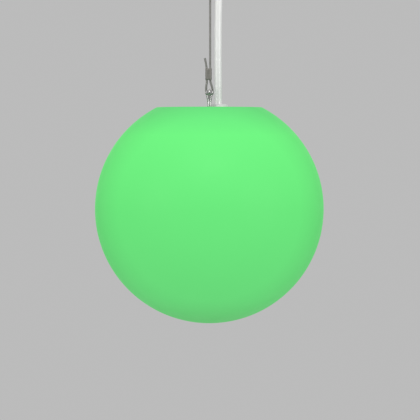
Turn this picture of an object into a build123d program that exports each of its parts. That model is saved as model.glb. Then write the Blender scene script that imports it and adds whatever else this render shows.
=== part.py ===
from build123d import *
import math
import os

# A garden globe light. A flat-topped plastic globe with an LED bulb in it hangs from a ceiling
# fitting on a wire rope, and its supply cable hangs beside the rope.
# Lengths are in millimetres. Z is up, z = 0 is the ceiling, and the rope hangs in the XZ plane.

os.makedirs("parts", exist_ok=True)

# ---------------------------------------------------------------- driving dimensions

drop = 256.0  # the ceiling down to the globe's flat top

# Globe
globe_diameter = 250.0
globe_wall = 3.5
flat_radius = 57.3  # where the ball meets its flat top
flat_edge = 1.5
well_radius = 45.0  # the recess in the flat top
well_edge = 1.0
ledge_thickness = 4.0
opening_radius = 34.0  # the hole in the ledge, through which the lamp goes in
boss_radius = 5.2
boss_height = 9.0

# Cap, which closes the globe
cap_depth = 16.0  # the flat top down to the cap's upper face
cap_thickness = 4.0
cap_edge = 1.0
cap_gap = 0.7
gasket_thickness = 1.5
cap_screw_circle = 39.5
cap_screw_count = 4
cap_screw_radius = 2.0
cap_screw_head_radius = 3.5
cap_screw_head = 2.4
cap_screw_length = 15.0
insert_wall = 0.9
insert_length = 8.0

# Eye bolts, on the cap and on the ceiling
eye_rod_radius = 2.0
eye_hole_radius = 3.0
collar_radius = 6.0
collar_height = 2.0
collar_edge = 0.5
neck_radius = 3.0
shank_radius = 3.0
nut_across_flats = 10.0
nut_height = 5.0
washer_radius = 9.0
washer_thickness = 1.5
shank_stand = 1.0  # how far a shank stands out of its nut

# Shackles, each a bow with a screw pin
bow_rod_radius = 2.0
bow_inner_width = 8.0
bow_reach = 21.0  # the inside of the crown to the middle of the pin
ear_radius = 4.0
pin_radius = 2.0
pin_end = 1.5  # how far the pin's tip stands out of its ear
pin_collar_radius = 3.4
pin_collar = 1.2
tab_radius = 3.5
tab_thickness = 2.0
tab_hole_radius = 1.5
link_gap = 0.3  # between a shackle and its eye bolt

# Wire rope, with a loop and a pressed ferrule at each end
rope_radius = 1.25
live_side = 0.9  # x of the strand that runs from loop to loop
dead_side = -2.6  # x of the end that comes back through the ferrule
loop_gap = 0.3  # between the rope and the pin
ferrule_start = 13.6  # above the pin
ferrule_length = 12.8
ferrule_width = 7.0
ferrule_depth = 4.6
tail_length = 11.0
tail_lean = 2.3
rope_bend = 6.0

# Supply cable and its cores
cable_radius = 4.1
core_radius = 1.1
core_bend = 2.6
core_spread = 2.4  # between two cores, where they leave the sheath
core_ahead = 1.6
core_behind = 1.2
core_entry = 5.0  # how far a core goes into its terminal

# Glands, measured out from the panel that they stand on
gland_y = 20.5
lower_gland_x = 9.66
upper_gland_x = 11.5
gland_thread_radius = 8.0
gland_across_flats = 22.0
gland_hex = 5.0
gland_neck_radius = 9.0
gland_neck = 8.5
gland_height = 19.9
gland_dome_radius = 11.0
gland_dome_height = 7.5
gland_dome_edge = 3.2
gland_thread_end = 1.0  # how far its thread stands out of its lock nut
seal_radius = 6.5
seal_length = 7.0
seal_stand = 1.0  # how far the seal stands out of the gland's neck
locknut_across_flats = 19.0
locknut_height = 3.0
sheath_stand = 1.5  # how far the sheath stands out of its gland, inside

# Ceiling fitting
canopy_radius = 50.0
canopy_height = 27.0
canopy_wall = 2.0
canopy_edge = 4.0
plate_radius = 40.0
plate_thickness = 2.0
mounting_hole_radius = 2.75
mounting_hole_spacing = 62.0
supply_hole_radius = 4.5
supply_hole_y = 31.0
boss_stem_radius = 5.5
boss_thread = 18.0  # how far the ceiling's eye bolt screws into the boss

# Terminal blocks
terminal_pitch = 8.5
terminal_count = 3
terminal_depth = 12.0  # along the wires
terminal_height = 14.0
terminal_bore_height = 9.3
terminal_screw_radius = 1.9
terminal_screw_offset = 3.0
terminal_screw_recess = 0.8
block_screw_radius = 1.25
block_screw_head_radius = 2.2
block_screw_head = 1.4
block_screw_recess = 1.0
canopy_block_y = -31.0

# Lamp bracket, a C of flat strip
bracket_width = 14.0
bracket_thickness = 2.0
bracket_back = 32.0  # x of the back of its web, on the minus side
bracket_top_end = 10.0
bracket_foot_end = 16.0
foot_drop = 2.0  # the terminal block down to the bracket's foot

# Lampholder
holder_radius = 20.0
holder_mouth_radius = 18.0
holder_floor = 18.0
holder_screw_spacing = 22.0
holder_screw_radius = 1.75
holder_screw_head_radius = 3.4
holder_screw_head = 2.0
holder_screw_depth = 9.0
lead_level = 8.0  # the holder's top down to its leads
lead_entry = 8.0
shell_thickness = 0.8
shell_length = 25.0
shell_inset = 1.0  # the holder's floor down to the shell
contact_radius = 5.0
contact_hole_radius = 1.0
contact_thickness = 1.2

# LED bulb, measured down from its tip
bulb_cap_radius = 13.0
bulb_cap_wall = 0.5
bulb_cap_length = 20.0
bulb_tip_radius = 4.0
bulb_tip_height = 1.5
bulb_insulator_height = 4.5
bulb_insulator_radius = 11.0
housing_wall = 2.0
housing_spigot = 15.0
housing_length = 38.0
housing_neck_radius = 14.5
housing_neck_length = 7.0
housing_mouth_radius = 29.0
housing_rim = 4.0
board_thickness = 1.6
led_size = 3.5
led_height = 0.9
led_ring_radius = 17.0
led_ring_count = 12
led_inner_radius = 8.0
led_inner_count = 6
driver_length = 34.0
driver_gap = 0.5  # between the driver board's edges and the housing
diffuser_stand = 1.0  # how far the diffuser bulges out past the housing
diffuser_wall = 1.2

# Clearances
fit_gap = 0.05  # between two pieces that are fitted together
slip_gap = 0.2  # between a hole and what drops through it

# ---------------------------------------------------------------- heights and places

flat_z = -drop
globe_radius = globe_diameter / 2
globe_centre_z = flat_z - math.sqrt(globe_radius**2 - flat_radius**2)
cap_top_z = flat_z - cap_depth
cap_bottom_z = cap_top_z - cap_thickness
ledge_top_z = cap_bottom_z - gasket_thickness
ledge_bottom_z = ledge_top_z - ledge_thickness
cap_radius = well_radius - cap_gap
insert_radius = cap_screw_radius + insert_wall

canopy_bottom_z = -canopy_height
middle_z = (cap_top_z + canopy_bottom_z) / 2  # the two ends mirror each other about this height

eye_ring_radius = eye_hole_radius + eye_rod_radius
eye_centre = collar_height + eye_ring_radius + 0.75 * eye_rod_radius  # above the bolt's seat
crown_inside_z = cap_top_z + eye_centre + eye_hole_radius - link_gap
pin_z = crown_inside_z + bow_reach

bow_half_width = bow_inner_width / 2 + bow_rod_radius
ear_thickness = 2 * bow_rod_radius
ear_outside = bow_inner_width / 2 + ear_thickness

lower_panel = Plane(origin=(lower_gland_x, gland_y, cap_top_z), z_dir=(0, 0, 1))
upper_panel = Plane(origin=(upper_gland_x, gland_y, canopy_bottom_z), z_dir=(0, 0, -1))

bracket_top_z = cap_bottom_z - washer_thickness
web_face_x = -bracket_back + bracket_thickness
terminal_row = terminal_pitch * terminal_count
core_drop = 1.2 * core_bend
sheath_end_z = cap_bottom_z - locknut_height - gland_thread_end - sheath_stand
core_level_z = sheath_end_z - core_drop
block_top_z = core_level_z - core_bend - slip_gap
globe_block_z = block_top_z - terminal_depth / 2
globe_block_place = Plane(origin=(web_face_x, 0, globe_block_z), x_dir=(0, 1, 0), z_dir=(1, 0, 0))
canopy_block_place = Plane(
    origin=(0, canopy_block_y, -plate_thickness), x_dir=(1, 0, 0), z_dir=(0, 0, -1)
)
foot_top_z = globe_block_z - terminal_depth / 2 - foot_drop
holder_top_z = foot_top_z - bracket_thickness
holder_floor_z = holder_top_z - holder_floor
bulb_tip_z = holder_floor_z - contact_thickness - fit_gap
bulb_cap_z = bulb_tip_z - bulb_tip_height - bulb_insulator_height
housing_z = bulb_cap_z - bulb_cap_length
housing_end_z = housing_z - housing_length
led_board_z = housing_end_z + housing_rim
diffuser_skirt_radius = housing_mouth_radius - housing_wall * 0.75

pieces = {}

# ---------------------------------------------------------------- helpers


def tube(points, bends, radius):
    """A round tube along straight runs that are joined by arcs."""
    with BuildPart() as piece:
        with BuildLine() as route:
            FilletPolyline(*points, radius=bends)
        with BuildSketch(Plane(origin=route.line @ 0, z_dir=route.line % 0)):
            Circle(radius)
        sweep()
    length = route.wires()[0].length
    share = piece.part.volume / (math.pi * radius**2 * length)
    print(f"tube {length:.1f} long, its volume over section times length {share:.4f}")
    return piece.part


def mirrored(piece):
    """The same piece at the other end of the rope."""
    return mirror(piece, about=Plane.XY.offset(middle_z))


def cap_screw_spots():
    return PolarLocations(cap_screw_circle, cap_screw_count, start_angle=45)


# ---------------------------------------------------------------- globe

inner_radius = globe_radius - globe_wall
inner_top_z = flat_z - globe_wall
inner_flat_radius = math.sqrt(inner_radius**2 - (inner_top_z - globe_centre_z) ** 2)

with BuildPart() as globe_shell:
    with BuildSketch(Plane.XZ):
        with BuildLine():
            ThreePointArc(
                (0, globe_centre_z - globe_radius),
                (globe_radius, globe_centre_z),
                (flat_radius, flat_z),
            )
            Polyline(
                (flat_radius, flat_z),
                (well_radius, flat_z),
                (well_radius, ledge_top_z),
                (opening_radius, ledge_top_z),
                (opening_radius, ledge_bottom_z),
                (well_radius + globe_wall, ledge_bottom_z),
                (well_radius + globe_wall, inner_top_z),
                (inner_flat_radius, inner_top_z),
            )
            ThreePointArc(
                (inner_flat_radius, inner_top_z),
                (inner_radius, globe_centre_z),
                (0, globe_centre_z - inner_radius),
            )
            Line((0, globe_centre_z - inner_radius), (0, globe_centre_z - globe_radius))
        make_face()
    revolve(axis=Axis.Z)
    rims = globe_shell.edges().filter_by(GeomType.CIRCLE).filter_by_position(Axis.Z, flat_z, flat_z)
    fillet(rims.sort_by(SortBy.RADIUS)[-1], flat_edge)
    rims = globe_shell.edges().filter_by(GeomType.CIRCLE).filter_by_position(Axis.Z, flat_z, flat_z)
    fillet(rims.sort_by(SortBy.RADIUS)[0], well_edge)
    with BuildSketch(Plane.XY.offset(ledge_bottom_z)):
        with cap_screw_spots():
            Circle(boss_radius)
    extrude(amount=-boss_height)
    with BuildSketch(Plane.XY.offset(ledge_top_z)):
        with cap_screw_spots():
            Circle(insert_radius + fit_gap)
    extrude(amount=-(ledge_thickness + boss_height - globe_wall / 2), mode=Mode.SUBTRACT)
pieces["globe_shell"] = globe_shell.part

with BuildPart() as rim_inserts:
    with BuildSketch(Plane.XY.offset(ledge_top_z)):
        with cap_screw_spots():
            Circle(insert_radius)
            Circle(cap_screw_radius + fit_gap, mode=Mode.SUBTRACT)
    extrude(amount=-insert_length)
pieces["rim_inserts"] = rim_inserts.part

with BuildPart() as cap_gasket:
    with BuildSketch(Plane.XY.offset(ledge_top_z)):
        Circle(cap_radius)
        Circle(opening_radius, mode=Mode.SUBTRACT)
        with cap_screw_spots():
            Circle(cap_screw_radius + slip_gap, mode=Mode.SUBTRACT)
    extrude(amount=gasket_thickness)
pieces["cap_gasket"] = cap_gasket.part

with BuildPart() as cap_plate:
    with BuildSketch(Plane.XY.offset(cap_bottom_z)):
        Circle(cap_radius)
    extrude(amount=cap_thickness)
    fillet(cap_plate.edges().sort_by(Axis.Z)[-1], cap_edge)
    with BuildSketch(Plane.XY.offset(cap_bottom_z)):
        Circle(shank_radius + slip_gap)
        with Locations((lower_gland_x, gland_y)):
            Circle(gland_thread_radius + slip_gap)
        with cap_screw_spots():
            Circle(cap_screw_radius + slip_gap)
    extrude(amount=cap_thickness, mode=Mode.SUBTRACT)
pieces["cap_plate"] = cap_plate.part

with BuildPart() as cap_screws:
    with BuildSketch(Plane.XY.offset(cap_top_z)):
        with cap_screw_spots():
            Circle(cap_screw_head_radius)
    extrude(amount=cap_screw_head)
    head_tops = cap_screws.faces().filter_by(Axis.Z).group_by(Axis.Z)[-1].edges()
    fillet(head_tops, cap_screw_head / 3)
    with BuildSketch(Plane.XY.offset(cap_top_z + cap_screw_head)):
        with cap_screw_spots():
            RegularPolygon(cap_screw_head_radius / 2, 6)
    extrude(amount=-cap_screw_head / 2, mode=Mode.SUBTRACT)
    with BuildSketch(Plane.XY.offset(cap_top_z)):
        with cap_screw_spots():
            Circle(cap_screw_radius)
    extrude(amount=-cap_screw_length)
pieces["cap_screws"] = cap_screws.part

# ---------------------------------------------------------------- eye bolts and their nuts


def eye_bolt(seat, shank_length):
    """A ring on a collar, with a shank that goes down through its seat."""
    ring_place = seat.offset(eye_centre).location * Location((0, 0, 0), (90, 0, 0))
    with BuildPart() as bolt:
        with BuildSketch(seat):
            Circle(collar_radius)
        extrude(amount=collar_height)
        far_edge = bolt.edges().filter_by(GeomType.CIRCLE).sort_by_distance(seat.origin)[-1]
        fillet(far_edge, collar_edge)
        with BuildSketch(seat):
            Circle(neck_radius)
        extrude(amount=eye_centre - eye_ring_radius)
        with Locations(ring_place):
            Torus(eye_ring_radius, eye_rod_radius)
        with BuildSketch(seat):
            Circle(shank_radius)
        extrude(amount=-shank_length)
    return bolt.part


def hex_nut(seat, across_flats, height, bore_radius):
    """A plain six-sided nut that stands on its seat."""
    with BuildPart() as nut:
        with BuildSketch(seat):
            RegularPolygon(across_flats / 2, 6, major_radius=False)
            Circle(bore_radius, mode=Mode.SUBTRACT)
        extrude(amount=height)
    return nut.part


def ring(seat, outer_radius, inner_radius, height):
    """A flat ring that stands on its seat."""
    with BuildPart() as piece:
        with BuildSketch(seat):
            Circle(outer_radius)
            Circle(inner_radius, mode=Mode.SUBTRACT)
        extrude(amount=height)
    return piece.part


cap_nut_z = bracket_top_z - bracket_thickness - washer_thickness
cap_shank = cap_top_z - cap_nut_z + nut_height + shank_stand
ceiling_shank = canopy_wall + boss_thread
thread_bore = shank_radius + fit_gap

pieces["cap_eye_bolt"] = eye_bolt(Plane.XY.offset(cap_top_z), cap_shank)
pieces["cap_eye_washer"] = ring(
    Plane.XY.offset(bracket_top_z), washer_radius, shank_radius + slip_gap, washer_thickness
)
pieces["cap_spring_washer"] = ring(
    Plane.XY.offset(cap_nut_z), nut_across_flats / 2, shank_radius + slip_gap, washer_thickness
)
pieces["cap_eye_nut"] = hex_nut(
    Plane.XY.offset(cap_nut_z - nut_height), nut_across_flats, nut_height, thread_bore
)
pieces["ceiling_eye_bolt"] = eye_bolt(
    Plane(origin=(0, 0, canopy_bottom_z), z_dir=(0, 0, -1)), ceiling_shank
)

# ---------------------------------------------------------------- shackles

crown_z = crown_inside_z + bow_half_width - bow_rod_radius  # the middle of the crown's half circle

with BuildPart() as lower_shackle:
    with BuildLine(Plane.YZ):
        Line((-bow_half_width, pin_z), (-bow_half_width, crown_z))
        ThreePointArc(
            (-bow_half_width, crown_z), (0, crown_z - bow_half_width), (bow_half_width, crown_z)
        )
        Line((bow_half_width, crown_z), (bow_half_width, pin_z))
    with BuildSketch(Plane.XY.offset(pin_z)):
        with Locations((0, -bow_half_width)):
            Circle(bow_rod_radius)
    sweep()
    with Locations(
        Location((0, -bow_half_width, pin_z), (90, 0, 0)),
        Location((0, bow_half_width, pin_z), (90, 0, 0)),
    ):
        Cylinder(ear_radius, ear_thickness)
    with Locations(Location((0, 0, pin_z), (90, 0, 0))):
        Cylinder(pin_radius + fit_gap, 2 * ear_outside, mode=Mode.SUBTRACT)
pieces["lower_shackle"] = lower_shackle.part
pieces["upper_shackle"] = mirrored(lower_shackle.part)

with BuildPart() as lower_shackle_pin:
    with BuildSketch(Plane.XZ.offset(ear_outside)):
        with Locations((0, pin_z)):
            Circle(pin_radius)
    extrude(amount=-(2 * ear_outside + pin_end))
    with BuildSketch(Plane.XZ.offset(ear_outside)):
        with Locations((0, pin_z)):
            Circle(pin_collar_radius)
    extrude(amount=pin_collar)
    with BuildSketch(Plane.YZ.offset(-tab_thickness / 2)):
        with Locations((-(ear_outside + pin_collar + tab_radius * 0.85), pin_z)):
            Circle(tab_radius)
            Circle(tab_hole_radius, mode=Mode.SUBTRACT)
    extrude(amount=tab_thickness)
pieces["lower_shackle_pin"] = lower_shackle_pin.part
pieces["upper_shackle_pin"] = mirrored(lower_shackle_pin.part)

# ---------------------------------------------------------------- wire rope

loop_radius = pin_radius + loop_gap + rope_radius
ferrule_z = pin_z + ferrule_start
ferrule_top_z = ferrule_z + ferrule_length
tail_z = ferrule_top_z + rope_radius

lower_loop = [
    (dead_side - tail_lean, 0, tail_z + tail_length - rope_radius),
    (dead_side, 0, tail_z),
    (dead_side, 0, ferrule_z - 1.8 * rope_radius),
    (-loop_radius, 0, ferrule_z - 5.8 * rope_radius),
    (-loop_radius, 0, pin_z - loop_radius),
    (loop_radius, 0, pin_z - loop_radius),
    (loop_radius, 0, ferrule_z - 7.4 * rope_radius),
    (live_side, 0, ferrule_z - 1.4 * rope_radius),
]
upper_loop = [(x, y, 2 * middle_z - z) for x, y, z in reversed(lower_loop)]
loop_bends = [rope_bend] * 3 + [loop_radius - fit_gap] * 2 + [rope_bend] * 2

pieces["wire_rope"] = tube(lower_loop + upper_loop, loop_bends + loop_bends[::-1], rope_radius)

with BuildPart() as lower_ferrule:
    with BuildSketch(Plane.XY.offset(ferrule_z)):
        with Locations(((live_side + dead_side) / 2, 0)):
            SlotOverall(ferrule_width, ferrule_depth)
        with Locations((live_side, 0), (dead_side, 0)):
            Circle(rope_radius + fit_gap, mode=Mode.SUBTRACT)
    extrude(amount=ferrule_length)
pieces["lower_ferrule"] = lower_ferrule.part
pieces["upper_ferrule"] = mirrored(lower_ferrule.part)

# ---------------------------------------------------------------- glands and the cable


def gland(panel, panel_thickness):
    """A cable gland's body, seal, dome nut and lock nut, and the cable's end inside the fitting."""
    thread = panel_thickness + locknut_height + gland_thread_end
    neck_top = gland_hex + gland_neck
    with BuildPart() as body:
        with BuildSketch(panel):
            RegularPolygon(gland_across_flats / 2, 6, major_radius=False)
        extrude(amount=gland_hex)
        with BuildSketch(panel):
            Circle(gland_neck_radius)
        extrude(amount=neck_top)
        with BuildSketch(panel):
            Circle(gland_thread_radius)
        extrude(amount=-thread)
        with BuildSketch(panel.offset(-thread)):
            Circle(cable_radius + slip_gap)
        extrude(amount=thread + neck_top, mode=Mode.SUBTRACT)
        with BuildSketch(panel.offset(neck_top)):
            Circle(seal_radius + fit_gap)
        extrude(amount=-seal_length, mode=Mode.SUBTRACT)
    seal = ring(
        panel.offset(neck_top - seal_length),
        seal_radius,
        cable_radius + fit_gap,
        seal_length + seal_stand,
    )
    with BuildPart() as nut:
        with BuildSketch(panel.offset(gland_hex + slip_gap)):
            RegularPolygon(gland_across_flats / 2, 6, major_radius=False)
        extrude(amount=gland_height - gland_dome_height - gland_hex - slip_gap)
        with BuildSketch(panel.offset(gland_hex + slip_gap)):
            Circle(gland_dome_radius)
        extrude(amount=gland_height - gland_hex - slip_gap)
        far_end = nut.edges().filter_by(GeomType.CIRCLE).group_by(Axis.Z)[-1 if panel.z_dir.Z > 0 else 0]
        fillet(far_end, gland_dome_edge)
        with BuildSketch(panel.offset(gland_hex)):
            Circle(gland_neck_radius + fit_gap)
        extrude(amount=gland_neck + seal_stand + fit_gap, mode=Mode.SUBTRACT)
        with BuildSketch(panel.offset(gland_hex)):
            Circle(cable_radius + slip_gap)
        extrude(amount=gland_height - gland_hex, mode=Mode.SUBTRACT)
    locknut = hex_nut(
        panel.offset(-panel_thickness - locknut_height),
        locknut_across_flats,
        locknut_height,
        gland_thread_radius + fit_gap,
    )
    with BuildPart() as cable_end:
        with BuildSketch(panel.offset(-thread - sheath_stand)):
            Circle(cable_radius)
        extrude(amount=gland_height + thread + sheath_stand)
    return body.part, seal, nut.part, locknut, cable_end.part


gland_names = ["gland_body", "gland_seal", "gland_dome_nut", "gland_locknut"]
*lower_gland, pieces["cable_end_in_globe"] = gland(lower_panel, cap_thickness)
*upper_gland, pieces["cable_end_in_canopy"] = gland(upper_panel, canopy_wall)
for name, lower, upper in zip(gland_names, lower_gland, upper_gland):
    pieces["lower_" + name] = lower
    pieces["upper_" + name] = upper

# The free stretch starts and ends upright, in its two glands, and bows a little in between.
cable_bottom_z = cap_top_z + gland_height
cable_top_z = canopy_bottom_z - gland_height
cable_route = [
    (lower_gland_x, gland_y, cable_bottom_z),
    (lower_gland_x, gland_y, flat_z + 24),
    (9.28, gland_y, flat_z + 62),
    (9.95, gland_y, flat_z + 112),
    (11.05, gland_y, flat_z + 160),
    (upper_gland_x, gland_y, flat_z + 189),
    (upper_gland_x, gland_y, cable_top_z),
]


def widest_bends(route):
    """For each corner, the largest radius that its two runs allow."""
    points = [Vector(p) for p in route]
    bends = []
    for before, corner, after in zip(points, points[1:], points[2:]):
        turn = math.radians((corner - before).get_angle(after - corner))
        shorter = min((corner - before).length, (after - corner).length)
        bends.append(0.45 * shorter / math.tan(turn / 2))
    return bends


cable_bends = widest_bends(cable_route)
print("supply cable radii", [round(r) for r in cable_bends])
pieces["supply_cable"] = tube(cable_route, cable_bends, cable_radius)

# ---------------------------------------------------------------- ceiling fitting

with BuildPart() as canopy:
    with BuildSketch(Plane.XY.offset(canopy_bottom_z)):
        Circle(canopy_radius)
    extrude(amount=canopy_height)
    fillet(canopy.edges().sort_by(Axis.Z)[0], canopy_edge)
    offset(amount=-canopy_wall, openings=canopy.faces().sort_by(Axis.Z)[-1])
    with BuildSketch(Plane.XY.offset(canopy_bottom_z)):
        Circle(shank_radius + slip_gap)
        with Locations((upper_gland_x, gland_y)):
            Circle(gland_thread_radius + slip_gap)
    extrude(amount=canopy_wall, mode=Mode.SUBTRACT)
pieces["canopy"] = canopy.part

with BuildPart() as ceiling_plate:
    with BuildSketch(Plane.XY):
        Circle(plate_radius)
    extrude(amount=-plate_thickness)
    with BuildSketch(Plane.XY):
        with GridLocations(mounting_hole_spacing, 0, 2, 1):
            Circle(mounting_hole_radius)
        with Locations((0, supply_hole_y)):
            Circle(supply_hole_radius)
        with Locations((-terminal_pitch / 2, canopy_block_y), (terminal_pitch / 2, canopy_block_y)):
            Circle(block_screw_radius + fit_gap)
    extrude(amount=-plate_thickness, mode=Mode.SUBTRACT)
pieces["ceiling_plate"] = ceiling_plate.part

# A threaded boss under the plate takes the eye bolt, which clamps the canopy against it.
pieces["plate_boss"] = ring(
    Plane.XY.offset(canopy_bottom_z + canopy_wall),
    boss_stem_radius,
    thread_bore,
    canopy_height - canopy_wall - plate_thickness,
)

# ---------------------------------------------------------------- terminal blocks and cores


def terminal_spots():
    return GridLocations(terminal_pitch, 0, terminal_count, 1)


def terminal_block(place):
    """A block with a row of terminals along its x, wires along its y and screws on top."""
    with BuildPart() as block:
        with BuildSketch(place):
            Rectangle(terminal_row, terminal_depth)
        extrude(amount=terminal_height)
        bore_plane = Plane(
            origin=place.from_local_coords((0, -terminal_depth / 2, terminal_bore_height)),
            x_dir=place.x_dir,
            z_dir=place.y_dir,
        )
        with BuildSketch(bore_plane):
            with terminal_spots():
                Circle(core_radius + slip_gap)
        extrude(amount=terminal_depth, mode=Mode.SUBTRACT)
        with BuildSketch(place.offset(terminal_height)):
            with GridLocations(terminal_pitch, 2 * terminal_screw_offset, terminal_count, 2):
                Circle(terminal_screw_radius + fit_gap)
        extrude(amount=-(terminal_height - terminal_bore_height - core_radius), mode=Mode.SUBTRACT)
        with BuildSketch(place.offset(terminal_height)):
            with GridLocations(terminal_pitch, 0, 2, 1):
                Circle(block_screw_head_radius + slip_gap)
        extrude(amount=-(block_screw_recess + block_screw_head), mode=Mode.SUBTRACT)
        with BuildSketch(place):
            with GridLocations(terminal_pitch, 0, 2, 1):
                Circle(block_screw_radius + slip_gap)
        extrude(amount=terminal_height, mode=Mode.SUBTRACT)
    with BuildPart() as terminal_screws:
        with BuildSketch(place.offset(terminal_height - terminal_screw_recess)):
            with GridLocations(terminal_pitch, 2 * terminal_screw_offset, terminal_count, 2):
                Circle(terminal_screw_radius)
        length = terminal_height - terminal_screw_recess - terminal_bore_height - core_radius - fit_gap
        extrude(amount=-length)
        with BuildSketch(place.offset(terminal_height - terminal_screw_recess)):
            with GridLocations(terminal_pitch, 2 * terminal_screw_offset, terminal_count, 2):
                Rectangle(2 * terminal_screw_radius, terminal_screw_radius / 3)
        extrude(amount=-terminal_screw_radius / 3, mode=Mode.SUBTRACT)
    with BuildPart() as block_screws:
        with BuildSketch(place.offset(terminal_height - block_screw_recess)):
            with GridLocations(terminal_pitch, 0, 2, 1):
                Circle(block_screw_head_radius)
        extrude(amount=-block_screw_head)
        with BuildSketch(place.offset(terminal_height - block_screw_recess)):
            with GridLocations(terminal_pitch, 0, 2, 1):
                Circle(block_screw_radius)
        extrude(amount=-(terminal_height - block_screw_recess + bracket_thickness))
    return block.part, terminal_screws.part, block_screws.part


for where, place in (("canopy", canopy_block_place), ("globe", globe_block_place)):
    block, terminal_screws, block_screws = terminal_block(place)
    pieces[where + "_terminal_block"] = block
    pieces[where + "_terminal_screws"] = terminal_screws
    pieces[where + "_block_screws"] = block_screws


def core_starts(panel, panel_thickness, target):
    """Where the three cores leave the sheath, side by side across the way to their target."""
    sheath_end = panel_thickness + locknut_height + gland_thread_end + sheath_stand
    centre = panel.offset(-sheath_end).origin
    heading = Vector(target.X - centre.X, target.Y - centre.Y, 0)
    across = Plane(origin=centre, x_dir=heading, z_dir=(0, 0, 1))
    places = [(-core_behind, -core_spread), (core_ahead, 0), (-core_behind, core_spread)]
    return [across.from_local_coords((x, y, 0)) for x, y in places]


core_names = ["live_core", "earth_core", "neutral_core"]

# In the globe the cores go down out of the sheath, across, and down into the block.
entry_x = web_face_x + terminal_bore_height
starts = core_starts(lower_panel, cap_thickness, Vector(entry_x, 0, 0))
for name, start, row in zip(core_names, starts, (1, 0, -1)):
    entry_y = row * terminal_pitch
    route = [
        start,
        (start.X, start.Y, core_level_z),
        (entry_x, entry_y, core_level_z),
        (entry_x, entry_y, block_top_z - core_entry),
    ]
    pieces["globe_" + name] = tube(route, core_bend, core_radius)

# In the canopy they go up, past the boss, and across into the block.
entry_z = -plate_thickness - terminal_bore_height
block_face_y = canopy_block_y + terminal_depth / 2
starts = core_starts(upper_panel, canopy_wall, Vector(upper_gland_x, 0, 0))
for name, start, row in zip(core_names, starts, (-1, 0, 1)):
    entry_x_here = row * terminal_pitch
    level = start.Z + core_drop
    route = [
        start,
        (start.X, start.Y, level),
        (start.X, -2 * boss_stem_radius - row * 3 * core_radius, level),
        (entry_x_here, block_face_y + core_bend, entry_z),
        (entry_x_here, block_face_y - core_entry, entry_z),
    ]
    pieces["canopy_" + name] = tube(route, core_bend, core_radius)

# ---------------------------------------------------------------- lamp bracket and lampholder

with BuildPart() as lamp_bracket:
    with BuildSketch(Plane.XZ.offset(-bracket_width / 2)):
        with BuildLine():
            Polyline(
                (bracket_top_end, bracket_top_z),
                (-bracket_back, bracket_top_z),
                (-bracket_back, holder_top_z),
                (bracket_foot_end, holder_top_z),
                (bracket_foot_end, foot_top_z),
                (web_face_x, foot_top_z),
                (web_face_x, bracket_top_z - bracket_thickness),
                (bracket_top_end, bracket_top_z - bracket_thickness),
                close=True,
            )
        make_face()
    extrude(amount=bracket_width)
    with BuildSketch(Plane.XY.offset(bracket_top_z)):
        Circle(shank_radius + slip_gap)
    extrude(amount=-bracket_thickness, mode=Mode.SUBTRACT)
    with BuildSketch(Plane.XY.offset(foot_top_z)):
        with GridLocations(holder_screw_spacing, 0, 2, 1):
            Circle(holder_screw_radius + slip_gap)
    extrude(amount=-bracket_thickness, mode=Mode.SUBTRACT)
    with BuildSketch(globe_block_place):
        with GridLocations(terminal_pitch, 0, 2, 1):
            Circle(block_screw_radius + fit_gap)
    extrude(amount=-bracket_thickness, mode=Mode.SUBTRACT)
pieces["lamp_bracket"] = lamp_bracket.part

shell_outer_radius = bulb_cap_radius + slip_gap + shell_thickness
holder_bottom_z = housing_z + slip_gap
holder_waist_z = holder_floor_z - shell_inset
lead_z = holder_top_z - lead_level
lead_end_x = -math.sqrt(holder_radius**2 - terminal_pitch**2) + lead_entry

with BuildPart() as lampholder_body:
    with BuildSketch(Plane.XZ):
        with BuildLine():
            Polyline(
                (0, holder_top_z),
                (holder_radius, holder_top_z),
                (holder_radius, holder_waist_z),
                (holder_mouth_radius, holder_bottom_z),
                (shell_outer_radius + fit_gap, holder_bottom_z),
                (shell_outer_radius + fit_gap, holder_floor_z),
                (0, holder_floor_z),
                close=True,
            )
        make_face()
    revolve(axis=Axis.Z)
    with BuildSketch(Plane.XY.offset(holder_top_z)):
        with GridLocations(holder_screw_spacing, 0, 2, 1):
            Circle(holder_screw_radius + fit_gap)
    extrude(amount=-(holder_screw_depth + 1), mode=Mode.SUBTRACT)
    with BuildSketch(Plane.YZ.offset(lead_end_x)):
        with Locations((-terminal_pitch, lead_z), (terminal_pitch, lead_z)):
            Circle(core_radius + slip_gap)
    extrude(amount=-holder_radius, mode=Mode.SUBTRACT)
pieces["lampholder_body"] = lampholder_body.part

pieces["lampholder_shell"] = ring(
    Plane.XY.offset(holder_waist_z - shell_length),
    shell_outer_radius,
    bulb_cap_radius + slip_gap,
    shell_length,
)
pieces["lampholder_contact"] = ring(
    Plane.XY.offset(holder_floor_z - contact_thickness),
    contact_radius,
    contact_hole_radius,
    contact_thickness,
)

with BuildPart() as lampholder_screws:
    with BuildSketch(Plane.XY.offset(foot_top_z)):
        with GridLocations(holder_screw_spacing, 0, 2, 1):
            Circle(holder_screw_head_radius)
    extrude(amount=holder_screw_head)
    with BuildSketch(Plane.XY.offset(foot_top_z)):
        with GridLocations(holder_screw_spacing, 0, 2, 1):
            Circle(holder_screw_radius)
    extrude(amount=-(bracket_thickness + holder_screw_depth))
pieces["lampholder_screws"] = lampholder_screws.part

for name, side in (("live", 1), ("neutral", -1)):
    lead_y = side * terminal_pitch
    route = [
        (entry_x, lead_y, globe_block_z - terminal_depth / 2 + core_entry),
        (entry_x, lead_y, lead_z),
        (lead_end_x, lead_y, lead_z),
    ]
    pieces["lampholder_" + name + "_lead"] = tube(route, core_bend, core_radius)

# ---------------------------------------------------------------- LED bulb

with BuildPart() as bulb_tip:
    with BuildSketch(Plane.XY.offset(bulb_tip_z - bulb_tip_height)):
        Circle(bulb_tip_radius)
    extrude(amount=bulb_tip_height)
    fillet(bulb_tip.edges().sort_by(Axis.Z)[-1], bulb_tip_height / 2)
pieces["bulb_tip"] = bulb_tip.part

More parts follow.
